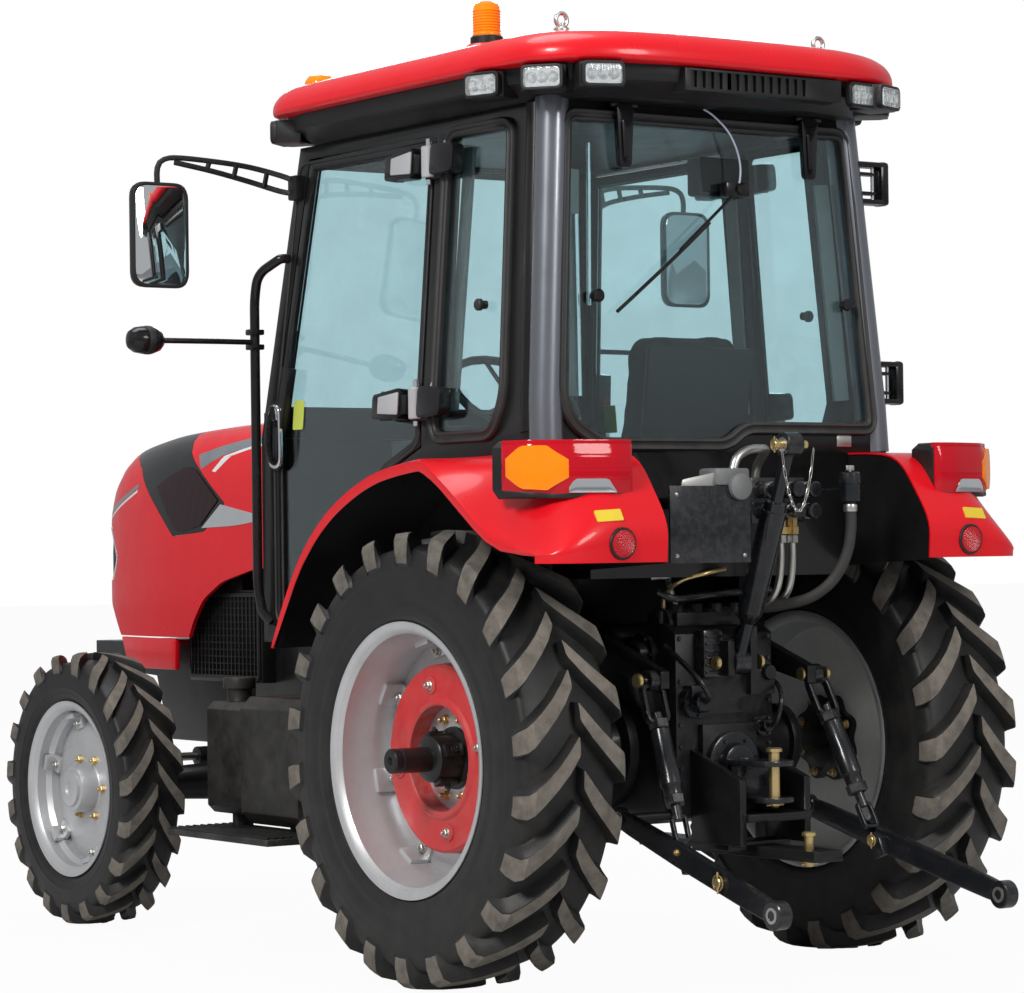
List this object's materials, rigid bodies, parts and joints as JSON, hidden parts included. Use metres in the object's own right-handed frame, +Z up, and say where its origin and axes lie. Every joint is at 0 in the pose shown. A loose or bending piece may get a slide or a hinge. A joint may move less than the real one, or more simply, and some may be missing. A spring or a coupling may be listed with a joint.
{
  "type": "farm tractor",
  "caption": "Four-wheel-drive farm tractor with a glazed cab, tilting hood, steered front axle, bar-lugged tyres and a rear three-point hitch.",
  "frame": {"origin": "on the ground, in the middle of the tractor's length and width", "axes": "+X forward, +Y to the driver's left, +Z up"},
  "size_m": [4.16, 2.17, 2.76],
  "materials": {
    "body_red": "gloss red paint",
    "black_iron": "black painted castings and steel",
    "black_plastic": "satin black moulding",
    "tyre_rubber": "matt rubber",
    "wheel_silver": "silver paint",
    "zinc_steel": "zinc plated",
    "amber_plastic": "clear amber moulding",
    "tinted_glass": "blue tinted",
    "seat_cloth": "black cloth"
  },
  "bodies": {
    "chassis": {"transmission_housing": "black_iron", "engine_block": "black_iron", "front_support": "black_iron", "front_axle_beam": "black_iron", "cab_frame": "black_iron", "roof_shell": "body_red", "windscreen": "tinted_glass", "rear_window": "tinted_glass", "quarter_window_left": "tinted_glass", "quarter_window_right": "tinted_glass", "fender_left": "body_red", "fender_right": "body_red", "fuel_tank": "black_plastic", "battery_box": "black_plastic", "grab_rail_left": "black_plastic", "grab_rail_right": "black_plastic", "mirror_left": "black_plastic", "mirror_right": "black_plastic", "seat": "seat_cloth", "dashboard": "black_plastic", "hitch_frame": "black_iron", "roof_band": "black_plastic", "beacon": "amber_plastic", "tail_lamp_left": "black_plastic", "tail_lamp_right": "black_plastic", "nose_valance": "body_red", "radiator": "black_iron"},
    "rear_wheel_left": {"rear_rim_left": "wheel_silver", "rear_tyre_left": "tyre_rubber"},
    "steering_knuckle_left": {"knuckle_left": "black_iron"},
    "front_wheel_left": {"front_rim_left": "wheel_silver", "front_tyre_left": "tyre_rubber"},
    "cab_door_left": {"door_left": "black_plastic", "door_glass_left": "tinted_glass"},
    "hitch_lift_rod_left": {"lift_rod_left": "black_iron"},
    "hitch_lower_link_left": {"lower_link_left": "black_iron"},
    "rear_wheel_right": {"rear_rim_right": "wheel_silver", "rear_tyre_right": "tyre_rubber"},
    "steering_knuckle_right": {"knuckle_right": "black_iron"},
    "front_wheel_right": {"front_rim_right": "wheel_silver", "front_tyre_right": "tyre_rubber"},
    "cab_door_right": {"door_right": "black_plastic", "door_glass_right": "tinted_glass"},
    "hitch_lift_rod_right": {"lift_rod_right": "black_iron"},
    "hitch_lower_link_right": {"lower_link_right": "black_iron"},
    "steering_cross_rod": {"steering_rod": "zinc_steel"},
    "steering_hand_wheel": {"steering_wheel": "black_plastic"},
    "engine_hood": {"hood": "body_red", "hood_mask": "black_plastic", "grille": "black_plastic"},
    "hitch_lift_arms": {"lift_arms": "black_iron"},
    "hitch_top_link": {"top_link": "black_iron"}
  },
  "joints": [
    {"name": "rear_wheel_left_spin", "type": "hinge", "parent": "chassis", "child": "rear_wheel_left", "pos_m": [-1, 0.7, 0.63], "axis": [0, 1, 0], "continuous": true},
    {"name": "rear_wheel_right_spin", "type": "hinge", "parent": "chassis", "child": "rear_wheel_right", "pos_m": [-1, -0.7, 0.63], "axis": [0, 1, 0], "continuous": true},
    {"name": "steer_left", "type": "hinge", "parent": "chassis", "child": "steering_knuckle_left", "pos_m": [1.1, 0.575, 0.4425], "axis": [0, 0, 1], "range_deg": [-40, 40]},
    {"name": "front_wheel_left_spin", "type": "hinge", "parent": "steering_knuckle_left", "child": "front_wheel_left", "pos_m": [1.1, 0.7, 0.4425], "axis": [0, 1, 0], "continuous": true},
    {"name": "steer_right", "type": "hinge", "parent": "chassis", "child": "steering_knuckle_right", "pos_m": [1.1, -0.575, 0.4425], "axis": [0, 0, 1], "range_deg": [-40, 40]},
    {"name": "front_wheel_right_spin", "type": "hinge", "parent": "steering_knuckle_right", "child": "front_wheel_right", "pos_m": [1.1, -0.7, 0.4425], "axis": [0, 1, 0], "continuous": true},
    {"name": "steering_rod_slide", "type": "slide", "parent": "chassis", "child": "steering_cross_rod", "axis": [0, 1, 0], "range_m": [-0.0968, 0.0968]},
    {"name": "steering_wheel_turn", "type": "hinge", "parent": "chassis", "child": "steering_hand_wheel", "pos_m": [-0.3353, 0, 1.664], "axis": [-0.6157, 0, 0.788], "range_deg": [-480.5, 480.5]},
    {"name": "door_left_open", "type": "hinge", "parent": "chassis", "child": "cab_door_left", "pos_m": [-0.73, 0.619, 1.55], "axis": [0, -0.0793, 0.9969], "range_deg": [0, 75]},
    {"name": "door_right_open", "type": "hinge", "parent": "chassis", "child": "cab_door_right", "pos_m": [-0.73, -0.619, 1.55], "axis": [0, 0.0793, 0.9969], "range_deg": [-75, 0]},
    {"name": "hood_tilt", "type": "hinge", "parent": "chassis", "child": "engine_hood", "pos_m": [0.235, 0, 1.585], "axis": [0, -1, 0], "range_deg": [0, 45]},
    {"name": "lift_arms_raise", "type": "hinge", "parent": "chassis", "child": "hitch_lift_arms", "pos_m": [-1.1, 0, 0.92], "axis": [0, 1, 0], "range_deg": [-5.2, 45.4]},
    {"name": "lower_link_left_raise", "type": "hinge", "parent": "chassis", "child": "hitch_lower_link_left", "pos_m": [-1.3, 0.335, 0.46], "axis": [0, 1, 0], "range_deg": [-5.1, 44.1]},
    {"name": "lift_rod_left_swing", "type": "hinge", "parent": "hitch_lift_arms", "child": "hitch_lift_rod_left", "pos_m": [-1.38, 0.29, 0.84], "axis": [0, 1, 0], "range_deg": [-45.4, 5.2]},
    {"name": "lower_link_right_raise", "type": "hinge", "parent": "chassis", "child": "hitch_lower_link_right", "pos_m": [-1.3, -0.335, 0.46], "axis": [0, 1, 0], "range_deg": [-5.1, 44.1]},
    {"name": "lift_rod_right_swing", "type": "hinge", "parent": "hitch_lift_arms", "child": "hitch_lift_rod_right", "pos_m": [-1.38, -0.29, 0.84], "axis": [0, 1, 0], "range_deg": [-45.4, 5.2]},
    {"name": "top_link_lower", "type": "hinge", "parent": "chassis", "child": "hitch_top_link", "pos_m": [-1.403, 0, 0.882], "axis": [0, -1, 0], "range_deg": [0, 78]}
  ],
  "couplings": [
    {"joint": "steer_right", "follows": "steer_left", "ratio": 1},
    {"joint": "steering_rod_slide", "follows": "steer_left", "m_per_rad": 0.1385},
    {"joint": "steering_wheel_turn", "follows": "steer_left", "ratio": 12},
    {"joint": "lower_link_left_raise", "follows": "lift_arms_raise", "ratio": 0.96993},
    {"joint": "lift_rod_left_swing", "follows": "lift_arms_raise", "ratio": -0.99859},
    {"joint": "lower_link_right_raise", "follows": "lift_arms_raise", "ratio": 0.96993},
    {"joint": "lift_rod_right_swing", "follows": "lift_arms_raise", "ratio": -0.99859}
  ]
}
